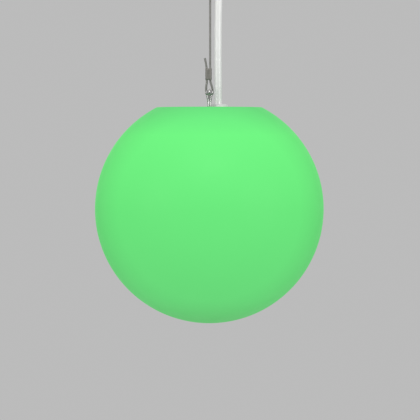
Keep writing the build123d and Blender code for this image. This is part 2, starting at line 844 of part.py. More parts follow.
with BuildPart() as bulb_insulator:
    with BuildSketch(Plane.XY.offset(bulb_cap_z)):
        Circle(bulb_insulator_radius)
    with BuildSketch(Plane.XY.offset(bulb_cap_z + bulb_insulator_height)):
        Circle(bulb_tip_radius)
    loft(ruled=True)
pieces["bulb_insulator"] = bulb_insulator.part

with BuildPart() as bulb_screw_cap:
    with BuildSketch(Plane.XY.offset(bulb_cap_z - bulb_cap_length)):
        Circle(bulb_cap_radius)
    extrude(amount=bulb_cap_length)
    with BuildSketch(Plane.XY.offset(bulb_cap_z - bulb_cap_length)):
        Circle(bulb_cap_radius - bulb_cap_wall)
    extrude(amount=bulb_cap_length - bulb_cap_wall, mode=Mode.SUBTRACT)
    with BuildSketch(Plane.XY.offset(bulb_cap_z)):
        Circle(bulb_insulator_radius - 2 * bulb_cap_wall)
    extrude(amount=-bulb_cap_wall, mode=Mode.SUBTRACT)
pieces["bulb_screw_cap"] = bulb_screw_cap.part

spigot_radius = bulb_cap_radius - bulb_cap_wall - fit_gap
housing_neck_z = housing_z - housing_neck_length
shelf_radius = housing_mouth_radius - 2 * housing_wall

with BuildPart() as bulb_housing:
    with BuildSketch(Plane.XZ):
        with BuildLine():
            Polyline(
                (spigot_radius - housing_wall, housing_z + housing_spigot),
                (spigot_radius, housing_z + housing_spigot),
                (spigot_radius, housing_z),
                (housing_neck_radius, housing_z),
                (housing_neck_radius, housing_neck_z),
                (housing_mouth_radius, led_board_z),
                (housing_mouth_radius, housing_end_z),
                (diffuser_skirt_radius + fit_gap, housing_end_z),
                (diffuser_skirt_radius + fit_gap, led_board_z),
                (shelf_radius, led_board_z),
                (spigot_radius - housing_wall, housing_neck_z),
                close=True,
            )
        make_face()
    revolve(axis=Axis.Z)
pieces["bulb_housing"] = bulb_housing.part

with BuildPart() as bulb_led_board:
    with BuildSketch(Plane.XY.offset(led_board_z)):
        Circle(diffuser_skirt_radius)
    extrude(amount=-board_thickness)
pieces["bulb_led_board"] = bulb_led_board.part

with BuildPart() as bulb_leds:
    with BuildSketch(Plane.XY.offset(led_board_z - board_thickness)):
        with PolarLocations(led_ring_radius, led_ring_count):
            Rectangle(led_size, led_size)
        with PolarLocations(led_inner_radius, led_inner_count):
            Rectangle(led_size, led_size)
    extrude(amount=-led_height)
pieces["bulb_leds"] = bulb_leds.part

with BuildPart() as bulb_driver_board:
    with BuildSketch(Plane.XZ.offset(-board_thickness / 2)):
        with Locations((0, led_board_z + driver_length / 2)):
            Rectangle(2 * (spigot_radius - housing_wall - driver_gap), driver_length)
    extrude(amount=board_thickness)
pieces["bulb_driver_board"] = bulb_driver_board.part

diffuser_radius = housing_mouth_radius + diffuser_stand
diffuser_centre_z = housing_end_z - math.sqrt(diffuser_radius**2 - diffuser_skirt_radius**2)
diffuser_inner_radius = diffuser_radius - diffuser_wall
skirt_inner_radius = math.sqrt(diffuser_inner_radius**2 - (housing_end_z - diffuser_centre_z) ** 2)
skirt_top_z = led_board_z - board_thickness

with BuildPart() as bulb_diffuser:
    with BuildSketch(Plane.XZ):
        with BuildLine():
            Polyline(
                (skirt_inner_radius, housing_end_z),
                (skirt_inner_radius, skirt_top_z),
                (diffuser_skirt_radius, skirt_top_z),
                (diffuser_skirt_radius, housing_end_z),
            )
            ThreePointArc(
                (diffuser_skirt_radius, housing_end_z),
                (diffuser_radius, diffuser_centre_z),
                (0, diffuser_centre_z - diffuser_radius),
            )
            Line(
                (0, diffuser_centre_z - diffuser_radius),
                (0, diffuser_centre_z - diffuser_inner_radius),
            )
            ThreePointArc(
                (0, diffuser_centre_z - diffuser_inner_radius),
                (diffuser_inner_radius, diffuser_centre_z),
                (skirt_inner_radius, housing_end_z),
            )
        make_face()
    revolve(axis=Axis.Z)
pieces["bulb_diffuser"] = bulb_diffuser.part

# ---------------------------------------------------------------- files

for name, part in pieces.items():
    part.label = name
    export_step(part, f"parts/{name}.step")
print(len(pieces), "pieces")
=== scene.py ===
import math

import bmesh
import bpy
from mathutils import Matrix, Vector


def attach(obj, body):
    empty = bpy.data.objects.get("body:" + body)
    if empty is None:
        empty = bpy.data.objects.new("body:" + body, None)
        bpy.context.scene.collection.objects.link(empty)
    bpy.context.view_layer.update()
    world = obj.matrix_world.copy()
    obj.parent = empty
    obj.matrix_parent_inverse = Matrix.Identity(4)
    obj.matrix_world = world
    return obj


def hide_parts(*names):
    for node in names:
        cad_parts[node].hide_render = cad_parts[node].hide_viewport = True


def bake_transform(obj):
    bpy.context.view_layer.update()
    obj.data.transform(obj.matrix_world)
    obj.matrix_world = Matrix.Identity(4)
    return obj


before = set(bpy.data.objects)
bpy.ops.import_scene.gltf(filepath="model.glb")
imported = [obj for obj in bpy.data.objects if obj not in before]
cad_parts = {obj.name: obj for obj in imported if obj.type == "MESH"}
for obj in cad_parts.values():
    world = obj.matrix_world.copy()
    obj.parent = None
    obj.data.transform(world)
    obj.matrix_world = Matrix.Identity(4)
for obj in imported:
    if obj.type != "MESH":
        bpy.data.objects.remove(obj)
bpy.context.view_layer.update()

scene = bpy.context.scene

# ---- Ceiling plate and its boss
# A flat steel plate, zinc plated, that two screws hold to the ceiling. A turned steel boss stands
# under its middle, and its thread carries the whole light.

PLATE_COLOUR = (0.50, 0.52, 0.54)
GRAIN_LOW, GRAIN_HIGH = 0.3, 0.7  # most of a grain's values lie between these


def new_finish(name, colour, roughness, metallic=0.0):
    """A material with plain values, ready for the detail that its surface has."""
    finish = bpy.data.materials.new(name)
    finish.use_nodes = True
    surface = finish.node_tree.nodes["Principled BSDF"]
    surface.inputs["Base Color"].default_value = (*colour, 1)
    surface.inputs["Roughness"].default_value = roughness
    surface.inputs["Metallic"].default_value = metallic
    return finish


def surface_of(finish):
    return finish.node_tree.nodes["Principled BSDF"]


def grain(finish, size, stretch=(1, 1, 1), detail=3.0):
    """Noise whose spots are about size metres across, stretched along the piece's own axes."""
    nodes, links = finish.node_tree.nodes, finish.node_tree.links
    own_axes = nodes.new("ShaderNodeTexCoord").outputs["Object"]
    pull = nodes.new("ShaderNodeMapping")
    pull.inputs["Scale"].default_value = [1 / s for s in stretch]
    noise = nodes.new("ShaderNodeTexNoise")
    noise.inputs["Scale"].default_value = 1 / size
    noise.inputs["Detail"].default_value = detail
    links.new(own_axes, pull.inputs["Vector"])
    links.new(pull.outputs["Vector"], noise.inputs["Vector"])
    return noise.outputs["Fac"]


def tint(finish, pattern, *stops, socket="Base Color"):
    """Colours the surface by a pattern: each stop is a place from 0 to 1 and a colour."""
    ramp = finish.node_tree.nodes.new("ShaderNodeValToRGB")
    while len(ramp.color_ramp.elements) < len(stops):
        ramp.color_ramp.elements.new(0.5)
    for element, (place, colour) in zip(ramp.color_ramp.elements, stops):
        element.position = place
        element.color = (*colour, 1)
    finish.node_tree.links.new(pattern, ramp.inputs["Fac"])
    finish.node_tree.links.new(ramp.outputs["Color"], surface_of(finish).inputs[socket])


def spread(finish, value, low, high, start, end):
    """Turns a value between low and high into one between start and end."""
    node = finish.node_tree.nodes.new("ShaderNodeMapRange")
    for name, number in (
        ("From Min", low), ("From Max", high), ("To Min", start), ("To Max", end),
    ):
        node.inputs[name].default_value = number
    finish.node_tree.links.new(value, node.inputs["Value"])
    return node.outputs["Result"]


def wear(finish, pattern, smooth, rough):
    """Varies the roughness by a pattern."""
    roughness = spread(finish, pattern, GRAIN_LOW, GRAIN_HIGH, smooth, rough)
    finish.node_tree.links.new(roughness, surface_of(finish).inputs["Roughness"])


def relief(finish, pattern, height):
    """Raises the surface by a pattern, height metres from its lowest to its highest."""
    bump = finish.node_tree.nodes.new("ShaderNodeBump")
    bump.inputs["Strength"].default_value = 1
    bump.inputs["Distance"].default_value = height
    finish.node_tree.links.new(pattern, bump.inputs["Height"])
    finish.node_tree.links.new(bump.outputs["Normal"], surface_of(finish).inputs["Normal"])


def dress(finish, *names):
    """Gives CAD nodes their finish."""
    for name in names:
        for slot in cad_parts[name].material_slots:
            slot.material = finish


zinc = new_finish("zinc_plate", PLATE_COLOUR, 0.35, 1.0)
spangle = grain(zinc, 0.004, detail=1.0)
tint(zinc, spangle, (0.35, (0.42, 0.45, 0.48)), (0.5, PLATE_COLOUR), (0.65, (0.60, 0.61, 0.61)))
wear(zinc, spangle, 0.28, 0.46)
relief(zinc, grain(zinc, 0.0008), 0.00003)
dress(zinc, "ceiling_plate", "lamp_bracket")

turned_steel = new_finish("turned_steel", (0.48, 0.47, 0.45), 0.3, 1.0)
tool_marks = grain(turned_steel, 0.0012, stretch=(12, 12, 1))
tint(turned_steel, tool_marks, (0.3, (0.40, 0.39, 0.38)), (0.7, (0.55, 0.54, 0.52)))
wear(turned_steel, tool_marks, 0.24, 0.4)
relief(turned_steel, tool_marks, 0.00002)
dress(
    turned_steel,
    "plate_boss",
    "cap_eye_nut",
    "cap_eye_washer",
    "cap_spring_washer",
    "cap_screws",
    "canopy_block_screws",
    "globe_block_screws",
    "lampholder_screws",
)

# ---- Ceiling cup
# A spun steel cup under the plate, powder coated white, with a rounded lower edge.
# The powder leaves a fine, even orange peel.

CUP_WHITE = (0.80, 0.80, 0.79)

powder_coat = new_finish("powder_coat", CUP_WHITE, 0.38)
peel = grain(powder_coat, 0.0011, detail=2.0)
tint(powder_coat, peel, (0.3, (0.77, 0.77, 0.76)), (0.7, (0.83, 0.83, 0.82)))
wear(powder_coat, grain(powder_coat, 0.02), 0.34, 0.44)
relief(powder_coat, peel, 0.00004)
dress(powder_coat, "canopy")

# ---- Eye bolts
# Forged stainless eye bolts, polished: a round eye on a collar, and a threaded shank below it.
# One hangs under the ceiling cup, and the other stands in the middle of the globe's cap.

CUP_BOTTOM_Z = -0.027
CAP_TOP_Z = -0.272
EYE_MIDDLE_HEIGHT = 0.0085
EYE_RADIUS = 0.005
EYE_ROD_RADIUS = 0.002
COLLAR_RADIUS = 0.006
COLLAR_HEIGHT = 0.002
COLLAR_EDGE = 0.0005
SHANK_RADIUS = 0.003
THREAD_PITCH = 0.001
THREAD_DEPTH = 0.45  # as a share of the pitch
SHARP_TURN = 0.5  # radians
CREASE = math.radians(38)  # an edge that turns by more is drawn sharp


def turned(outline, steps=64, closed=False):
    """An outline of (radius, height) points, turned about the Z axis."""
    shape = bmesh.new()
    corners = [shape.verts.new((radius, 0, height)) for radius, height in outline]
    sides = [shape.edges.new(pair) for pair in zip(corners, corners[1:])]
    if closed:
        sides.append(shape.edges.new((corners[-1], corners[0])))
    bmesh.ops.spin(
        shape,
        geom=corners + sides,
        cent=(0, 0, 0),
        axis=(0, 0, 1),
        angle=2 * math.pi,
        steps=steps,
        use_merge=True,
    )
    bmesh.ops.remove_doubles(shape, verts=shape.verts, dist=1e-6)
    bmesh.ops.recalc_face_normals(shape, faces=shape.faces)
    return shape


def round_off(shape, edges, width, segments):
    """Rounds some of a shape's edges."""
    bmesh.ops.bevel(
        shape,
        geom=edges,
        offset=width,
        offset_type="OFFSET",
        segments=segments,
        profile=0.5,
        affect="EDGES",
        clamp_overlap=True,
        material=-1,
    )


def soften(shape, width, segments=3):
    """Rounds every edge that makes a sharp turn."""
    edges = [e for e in shape.edges if len(e.link_faces) == 2 and e.calc_face_angle(0) > SHARP_TURN]
    round_off(shape, edges, width, segments)
    return shape


def put(shape, matrix):
    """Turns and moves a shape to its place."""
    bmesh.ops.transform(shape, matrix=matrix, verts=shape.verts)
    return shape


def upright(x, y, z, side):
    """The place of a piece that stands up from a point for side 1, or hangs from it for side -1."""
    place = Matrix.Translation((x, y, z))
    return place if side > 0 else place @ Matrix.Rotation(math.pi, 4, "X")


def joined(*shapes):
    """Several shapes as one."""
    whole = bmesh.new()
    for shape in shapes:
        passing = bpy.data.meshes.new("passing")
        shape.to_mesh(passing)
        shape.free()
        whole.from_mesh(passing)
        bpy.data.meshes.remove(passing)
    return whole


def finished(name, shape, finish, slot, body, *cad_nodes):
    """Makes a piece, gives it its finish, attaches it to its body, and hides the nodes it replaces.
    """
    bmesh.ops.recalc_face_normals(shape, faces=shape.faces)
    mesh = bpy.data.meshes.new(name)
    shape.to_mesh(mesh)
    shape.free()
    mesh.shade_smooth()
    mesh.set_sharp_from_angle(angle=CREASE)
    mesh.materials.append(finish)
    piece = bpy.data.objects.new(name, mesh)
    scene.collection.objects.link(piece)
    if body:
        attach(piece, body)
    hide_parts(*cad_nodes)
    return piece


def threaded(start, end, radius, pitch):
    """The outline of a thread from start down to end, as rings one pitch apart."""
    outline = [(0, start), (radius, start)]
    height = start - pitch
    while height - pitch > end:
        outline += [(radius, height), (radius - THREAD_DEPTH * pitch, height - pitch / 2)]
        height -= pitch
    return outline + [(radius, height), (radius - pitch / 2, end), (0, end)]


def eye_bolt(seat_height, side, shank_length):
    """An eye bolt that stands on its seat, up for side 1 and down for side -1."""
    collar = soften(
        turned([(0, 0), (COLLAR_RADIUS, 0), (COLLAR_RADIUS, COLLAR_HEIGHT), (0, COLLAR_HEIGHT)]),
        COLLAR_EDGE,
    )
    neck = turned([
        (0, 0.001), (0.0042, 0.0018), (0.0034, 0.0023), (0.0029, 0.0031), (0.0028, 0.0042),
        (0, 0.0042),
    ])
    shank = turned(threaded(0, -shank_length, SHANK_RADIUS, THREAD_PITCH), steps=32)
    eye = bmesh.new()
    section = bmesh.ops.create_circle(
        eye,
        segments=24,
        radius=EYE_ROD_RADIUS,
        matrix=Matrix.Translation((EYE_RADIUS, 0, EYE_MIDDLE_HEIGHT)),
    )["verts"]
    bmesh.ops.spin(
        eye,
        geom=section + eye.edges[:],
        cent=(0, 0, EYE_MIDDLE_HEIGHT),
        axis=(0, 1, 0),
        angle=2 * math.pi,
        steps=72,
        use_merge=True,
    )
    return put(joined(collar, neck, shank, eye), upright(0, 0, seat_height, side))


polished = new_finish("polished_steel", (0.46, 0.46, 0.45), 0.16, 1.0)
rubbing = grain(polished, 0.0015, stretch=(1, 1, 5))
tint(polished, rubbing, (0.3, (0.40, 0.40, 0.39)), (0.7, (0.53, 0.53, 0.52)))
wear(polished, rubbing, 0.17, 0.30)
relief(polished, grain(polished, 0.0035, detail=1.0), 0.00002)

finished(
    "ceiling_eye", eye_bolt(CUP_BOTTOM_Z, -1, shank_length=0.020), polished, "polished_steel",
    "ceiling_fitting", "ceiling_eye_bolt",
)
finished(
    "cap_eye", eye_bolt(CAP_TOP_Z, 1, shank_length=0.0155), polished, "polished_steel",
    "globe_set", "cap_eye_bolt",
)

# ---- Cable glands
# White nylon glands, one under the ceiling cup and one on the cap. Each has a six-sided body that
# screws through the panel, and a domed nut that squeezes a rubber seal round the cable.

GLAND_Y = 0.0205
UPPER_GLAND_X = 0.0115
LOWER_GLAND_X = 0.00966
GLAND_HALF_FLATS = 0.011
GLAND_CORNER = 0.01245
DOME_RADIUS = 0.01095
DOME_TOP_RADIUS = 0.0076
DOME_START = 0.0167
DOME_TOP = 0.0199
DOME_STEPS = 4
NYLON_WHITE = (0.80, 0.81, 0.80)


def cut_off(shape, place, outward):
    """Cuts off what lies beyond a plane."""
    bmesh.ops.bisect_plane(
        shape,
        geom=shape.verts[:] + shape.edges[:] + shape.faces[:],
        dist=1e-7,
        plane_co=place,
        plane_no=outward,
        clear_outer=True,
    )


def six_sided(shape, half_flats):
    """Cuts six flats on a turned shape, the first of them 30 degrees from the X axis."""
    for turn in range(30, 390, 60):
        out = Vector((math.cos(math.radians(turn)), math.sin(math.radians(turn)), 0))
        cut_off(shape, out * half_flats, out)
        bmesh.ops.holes_fill(shape, edges=[e for e in shape.edges if e.is_boundary], sides=0)
    return shape


def gland_body(thread_length):
    """The body, standing on its panel, with its thread going down through the panel."""
    outline = [
        (0.0043, -thread_length), (0.0075, -thread_length), (0.008, -thread_length + 0.0005),
        (0.008, -0.0002), (0.0118, 0), (GLAND_CORNER, 0.0005), (GLAND_CORNER, 0.0044),
        (0.0119, 0.005), (0.009, 0.005), (0.009, 0.0135), (0.0065, 0.0135), (0.0065, 0.0065),
        (0.0043, 0.0065),
    ]
    return six_sided(turned(outline, closed=True), GLAND_HALF_FLATS)


def dome_nut():
    """The nut that screws onto the body, with a rounded top round the cable."""
    dome = []  # a quarter of an ellipse, to the nearest tenth of a millimetre
    for step in range(1, DOME_STEPS + 1):
        turn = math.pi / 2 * step / DOME_STEPS
        radius = DOME_TOP_RADIUS + (DOME_RADIUS - DOME_TOP_RADIUS) * math.cos(turn)
        height = DOME_START + (DOME_TOP - DOME_START) * math.sin(turn)
        dome.append((round(radius, 4), round(height, 4)))
    outline = [
        (0.0091, 0.0052), (0.0119, 0.0052), (GLAND_CORNER, 0.0058), (GLAND_CORNER, 0.0114),
        (0.0118, 0.0123), (DOME_RADIUS, 0.0129), (DOME_RADIUS, DOME_START), *dome,
        (0.0052, DOME_TOP), (0.0045, 0.0196), (0.0043, 0.0189), (0.0043, 0.0146),
        (0.0091, 0.0146),
    ]
    return six_sided(turned(outline, closed=True), GLAND_HALF_FLATS)


nylon = new_finish("white_nylon", NYLON_WHITE, 0.36)
flow = grain(nylon, 0.006)
tint(nylon, flow, (0.3, (0.77, 0.78, 0.77)), (0.7, (0.83, 0.84, 0.83)))
wear(nylon, flow, 0.3, 0.42)
relief(nylon, grain(nylon, 0.0005), 0.00002)
dress(nylon, "upper_gland_locknut", "lower_gland_locknut")

rubber = new_finish("black_rubber", (0.02, 0.02, 0.02), 0.75)
bloom = grain(rubber, 0.002)
tint(rubber, bloom, (0.3, (0.014, 0.014, 0.014)), (0.7, (0.032, 0.032, 0.031)))
relief(rubber, bloom, 0.00004)
dress(rubber, "upper_gland_seal", "lower_gland_seal", "cap_gasket")

for where, panel_z, gland_x, side, thread_length, body in (
    ("upper", CUP_BOTTOM_Z, UPPER_GLAND_X, -1, 0.006, "ceiling_fitting"),
    ("lower", CAP_TOP_Z, LOWER_GLAND_X, 1, 0.008, "globe_set"),
):
    place = upright(gland_x, GLAND_Y, panel_z, side)
    finished(
        where + "_gland_hexagon", put(gland_body(thread_length), place), nylon,
        "gland_white", body, where + "_gland_body",
    )
    finished(
        where + "_gland_dome", put(dome_nut(), place), nylon,
        "gland_white", body, where + "_gland_dome_nut",
    )

# ---- Supply cable
# A round three-core cable in a glossy white sheath. It hangs beside the rope from gland to gland,
# in four lengths.

CABLE_RADIUS = 0.0041
CABLE_ROUTE = [
    (LOWER_GLAND_X, GLAND_Y, -0.2521),
    (LOWER_GLAND_X, GLAND_Y, -0.232),
    (0.00928, GLAND_Y, -0.194),
    (0.00995, GLAND_Y, -0.144),
    (0.01105, GLAND_Y, -0.096),
    (UPPER_GLAND_X, GLAND_Y, -0.067),
    (UPPER_GLAND_X, GLAND_Y, -0.0469),
]
CABLE_BODIES = [
    "globe_set", "lower_shackle_set", "rope_set", "upper_shackle_set", "ceiling_fitting",
]
CABLE_LENGTHS = len(CABLE_BODIES) - 1
LENGTH_STEPS = 24  # along each of them
SHEATH_WHITE = (0.86, 0.86, 0.85)


def new_curve(kind, places):
    """A curve whose control points are some places."""
    curve = bpy.data.curves.new("line", "CURVE")
    curve.dimensions = "3D"
    spline = curve.splines.new(kind)
    spline.points.add(len(places) - 1)
    for point, place in zip(spline.points, places):
        point.co = (*place, 1)
    return curve


def shape_of(curve):
    """A curve's shape. The curve itself goes."""
    holder = bpy.data.objects.new("line", curve)
    scene.collection.objects.link(holder)
    mesh = bpy.data.meshes.new_from_object(holder)
    shape = bmesh.new()
    shape.from_mesh(mesh)
    bpy.data.objects.remove(holder)
    bpy.data.curves.remove(curve)
    bpy.data.meshes.remove(mesh)
    return shape


def line_along(route, steps):
    """The points of the smooth spline whose control points are the route's points."""
    curve = new_curve("NURBS", route)
    curve.resolution_u = steps
    curve.splines[0].order_u = 3
    curve.splines[0].use_endpoint_u = True
    shape = shape_of(curve)
    line = [v.co.copy() for v in shape.verts]
    shape.free()
    return [line[0]] + [b for a, b in zip(line, line[1:]) if (b - a).length > 1e-7]


def evenly(line, count):
    """The same line as count + 1 points, an equal length apart."""
    lengths = [0.0]
    for a, b in zip(line, line[1:]):
        lengths.append(lengths[-1] + (b - a).length)
    points, k = [], 0
    for i in range(count + 1):
        want = lengths[-1] * i / count
        while k < len(line) - 2 and lengths[k + 1] < want:
            k += 1
        share = (want - lengths[k]) / (lengths[k + 1] - lengths[k])
        points.append(line[k].lerp(line[k + 1], share))
    return points, lengths[-1]


def round_bar(line, radius, sides):
    """A round bar along a line's points, with flat ends."""
    curve = new_curve("POLY", line)
    curve.bevel_depth = radius
    curve.bevel_resolution = sides // 2 - 2
    curve.use_fill_caps = True
    shape = shape_of(curve)
    bmesh.ops.remove_doubles(shape, verts=shape.verts, dist=1e-7)
    return shape


sheath = new_finish("white_sheath", SHEATH_WHITE, 0.2)
drawing = grain(sheath, 0.004, stretch=(1, 1, 8))
tint(sheath, drawing, (0.3, (0.84, 0.84, 0.83)), (0.7, (0.88, 0.88, 0.87)))
wear(sheath, drawing, 0.16, 0.26)
relief(sheath, grain(sheath, 0.0025, stretch=(1, 1, 10)), 0.00001)
dress(sheath, "cable_end_in_globe", "cable_end_in_canopy")

cable_line, cable_length = evenly(
    line_along(CABLE_ROUTE, steps=32), CABLE_LENGTHS * LENGTH_STEPS
)
for number, (below, above) in enumerate(zip(CABLE_BODIES, CABLE_BODIES[1:])):
    start = LENGTH_STEPS * number
    stretch = cable_line[start : start + LENGTH_STEPS + 1]
    piece = finished(
        f"cable_length_{number + 1}", round_bar(stretch, CABLE_RADIUS, sides=32), sheath,
        "cable_white", None, "supply_cable",
    )
    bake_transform(piece)

# ---- Wire rope
# A galvanised wire rope of seven strands, laid round each other. It goes round a shackle's pin at
# each end, comes back through a ferrule, and its cut end stands out a little past it.

ROPE_RADIUS = 0.00125
STRAND_RADIUS = ROPE_RADIUS / 3
OUTER_STRANDS = 6  # round the seventh
LAY_LENGTH = 0.011
ROPE_STEPS = 300
IN_LOWER_FERRULE = -0.2150
IN_UPPER_FERRULE = -0.0840
ROPE_ROUTE = [  # from the lower cut end, round both pins, to the upper cut end
    (-0.0049, 0, -0.2024),
    (-0.0026, 0, -0.21215),
    (-0.0026, 0, -0.22845),
    (-0.00355, 0, -0.23345),
    (-0.00355, 0, -0.24335),
    (0.00355, 0, -0.24335),
    (0.00355, 0, -0.23545),
    (0.0009, 0, -0.22795),
    (0.0009, 0, -0.22),
    (0.0009, 0, -0.079),
    (0.0009, 0, -0.07105),
    (0.00355, 0, -0.06355),
    (0.00355, 0, -0.05565),
    (-0.00355, 0, -0.05565),
    (-0.00355, 0, -0.06555),
    (-0.0026, 0, -0.07055),
    (-0.0026, 0, -0.08685),
    (-0.0049, 0, -0.0966),
]

rope_wire = new_finish("galvanised_wire", (0.335, 0.33, 0.315), 0.62, 1.0)
weather = grain(rope_wire, 0.0009, stretch=(1, 1, 3))
tint(rope_wire, weather, (0.3, (0.28, 0.275, 0.26)), (0.7, (0.39, 0.385, 0.37)))
wear(rope_wire, weather, 0.55, 0.7)
relief(rope_wire, grain(rope_wire, 0.00025, stretch=(1, 1, 4)), 0.00003)

rope_line, rope_length = evenly(line_along(ROPE_ROUTE, steps=24), ROPE_STEPS)
strands = [rope_line]
for number in range(OUTER_STRANDS):
    helix = []
    for i, middle in enumerate(rope_line):
        ahead = rope_line[min(i + 1, ROPE_STEPS)] - rope_line[max(i - 1, 0)]
        aside = Vector((-ahead.z, 0, ahead.x)).normalized()
        travel = rope_length * i / ROPE_STEPS
        turn = 2 * math.pi * (number / OUTER_STRANDS + travel / LAY_LENGTH)
        out = aside * math.cos(turn) + Vector((0, 1, 0)) * math.sin(turn)
        helix.append(middle + out * 2 * STRAND_RADIUS)
    strands.append(helix)

# The rope is one length, and its pieces meet out of sight in the two ferrules.
past_loop = ROPE_STEPS // 5  # beyond the cut end, which stands above the lower ferrule too
span_start = next(i for i in range(past_loop, ROPE_STEPS) if rope_line[i].z > IN_LOWER_FERRULE)
span_end = next(i for i in range(span_start, ROPE_STEPS) if rope_line[i].z > IN_UPPER_FERRULE)
for name, start, end in (
    ("rope_lower_loop", 0, span_start),
    ("rope_span", span_start, span_end),
    ("rope_upper_loop", span_end, ROPE_STEPS),
):
    bars = [round_bar(strand[start : end + 1], STRAND_RADIUS, sides=8) for strand in strands]
    rope = finished(name, joined(*bars), rope_wire, "rope_steel", "rope_set", "wire_rope")

# ---- Ferrules
# Aluminium sleeves, pressed over the two runs of the rope, with the shallow waists that the
# press leaves and slightly rounded ends.

FERRULE_LENGTH = 0.0128
FERRULE_DEPTH = 0.0046
FERRULE_WIDTH = 0.007
FERRULE_X = -0.00085
FERRULE_END = 0.9  # the size of its ends, as a share of its full section
FERRULE_RINGS = [  # a height above its lower end, and the size of its section there
    (0.0005, 1.0), (0.0026, 1.0), (0.0034, 0.955), (0.0042, 1.0), (0.0059, 1.0), (0.0064, 0.96),
    (0.0069, 1.0), (0.0086, 1.0), (0.0094, 0.955), (0.0102, 1.0), (0.0123, 1.0),
    (FERRULE_LENGTH, FERRULE_END),
]


def only(kind, geometry):
    """The vertices, the edges or the faces among what a bmesh operator gives back."""
    return [g for g in geometry if isinstance(g, kind)]


def widen(shape, corners, apart):
    """Moves the two halves of a round section apart along X, so that it grows flat sides."""
    for side in (-1, 1):
        half = [v for v in corners if side * v.co.x > 1e-6]
        bmesh.ops.translate(shape, verts=half, vec=(side * apart, 0, 0))


def ferrule():
    """A ferrule that stands on its lower end."""
    shape = bmesh.new()
    bmesh.ops.create_circle(shape, segments=32, radius=FERRULE_DEPTH / 2, cap_ends=True)
    widen(shape, shape.verts[:], (FERRULE_WIDTH - FERRULE_DEPTH) / 2)
    lower_end = top = shape.faces[:]
    for height, size in FERRULE_RINGS:
        grown = bmesh.ops.extrude_face_region(shape, geom=top)["geom"]
        if top is not lower_end:
            bmesh.ops.delete(shape, geom=top, context="FACES_ONLY")
        top = only(bmesh.types.BMFace, grown)
        rim = only(bmesh.types.BMVert, grown)
        factor = size * FERRULE_WIDTH / 2 / max(v.co.x for v in rim)
        bmesh.ops.translate(shape, verts=rim, vec=(0, 0, height - rim[0].co.z))
        bmesh.ops.scale(shape, verts=rim, vec=(factor, factor, 1))
    low = [v for v in shape.verts if v.co.z < 1e-6]
    bmesh.ops.scale(shape, verts=low, vec=(FERRULE_END, FERRULE_END, 1))
    return shape


aluminium = new_finish("pressed_aluminium", (0.25, 0.24, 0.222), 0.6, 1.0)
die_marks = grain(aluminium, 0.0008, stretch=(1, 1, 9))
tint(aluminium, die_marks, (0.3, (0.195, 0.187, 0.172)), (0.7, (0.305, 0.295, 0.275)))
wear(aluminium, die_marks, 0.55, 0.68)
relief(aluminium, die_marks, 0.00003)

for where, foot_z in (("lower", -0.2262), ("upper", -0.0856)):
    finished(
        where + "_sleeve", put(ferrule(), Matrix.Translation((FERRULE_X, 0, foot_z))), aluminium,
        "ferrule_metal", "rope_set", where + "_ferrule",
    )

# ---- Shackles
# Polished stainless bow shackles. Each is a bent rod that widens into an ear at both ends, and a
# screw pin with a collar and a drilled tab goes through the ears.

BOW_HALF_WIDTH = 0.006
BOW_ROD_RADIUS = 0.002
PIN_Z = -0.2398
CROWN_Z = -0.2568
MIDDLE_Z = -0.1495  # the two shackles mirror each other about this height
EAR_RADIUS = 0.004
EAR_HALF_THICKNESS = 0.002
EAR_BORE = 0.00205
EAR_EDGE = 0.0006
ROD_RISES = [  # how far each ring stands above the one before, and how much more it widens
    (0.0050, 0.0), (0.0025, 0.00025), (0.0025, 0.00045), (0.0025, 0.0005), (0.0020, 0.0004),
    (0.0025, -0.0004),
]
PIN_START_Y = -0.0092
TAB_Y = -0.012175


def bow():
    """The lower shackle's bow, with its crown down."""
    rod = bmesh.new()
    section = bmesh.ops.create_circle(
        rod,
        segments=24,
        radius=BOW_ROD_RADIUS,
        matrix=Matrix.Translation((0, BOW_HALF_WIDTH, CROWN_Z)),
    )["verts"]
    edges = rod.edges[:]
    last = bmesh.ops.spin(
        rod,
        geom=section + edges,
        cent=(0, 0, CROWN_Z),
        axis=(1, 0, 0),
        angle=-math.pi,
        steps=32,
    )["geom_last"]
    for ring in (edges, only(bmesh.types.BMEdge, last)):
        for rise, apart in ROD_RISES:
            grown = bmesh.ops.extrude_edge_only(rod, edges=ring)["geom"]
            corners = only(bmesh.types.BMVert, grown)
            ring = only(bmesh.types.BMEdge, grown)
            bmesh.ops.translate(rod, verts=corners, vec=(0, 0, rise))
            widen(rod, corners, apart)
        bmesh.ops.edgeloop_fill(rod, edges=ring)
    ears = []
    for side in (-1, 1):
        ear = turned(
            [
                (EAR_BORE, -EAR_HALF_THICKNESS), (EAR_RADIUS, -EAR_HALF_THICKNESS),
                (EAR_RADIUS, EAR_HALF_THICKNESS), (EAR_BORE, EAR_HALF_THICKNESS),
            ],
            closed=True,
        )
        soften(ear, EAR_EDGE)
        place = Matrix.Translation((0, side * BOW_HALF_WIDTH, PIN_Z))
        ears.append(put(ear, place @ Matrix.Rotation(math.pi / 2, 4, "X")))
    return joined(rod, *ears)


def screw_pin():
    """The lower shackle's pin. Its tab is on the minus Y side."""
    shaft = turned([
        (0, 0), (0.0034, 0), (0.0034, 0.0012), (0.002, 0.0012), (0.002, 0.0182),
        (0.0015, 0.0187), (0, 0.0187),
    ])
    soften(shaft, 0.0003, segments=2)
    along_y = Matrix.Rotation(-math.pi / 2, 4, "X")
    put(shaft, Matrix.Translation((0, PIN_START_Y, PIN_Z)) @ along_y)
    tab = turned(
        [(0.0015, -0.001), (0.0035, -0.001), (0.0035, 0.001), (0.0015, 0.001)], closed=True
    )
    soften(tab, 0.0004)
    put(tab, Matrix.Translation((0, TAB_Y, PIN_Z)) @ Matrix.Rotation(math.pi / 2, 4, "Y"))
    return joined(shaft, tab)


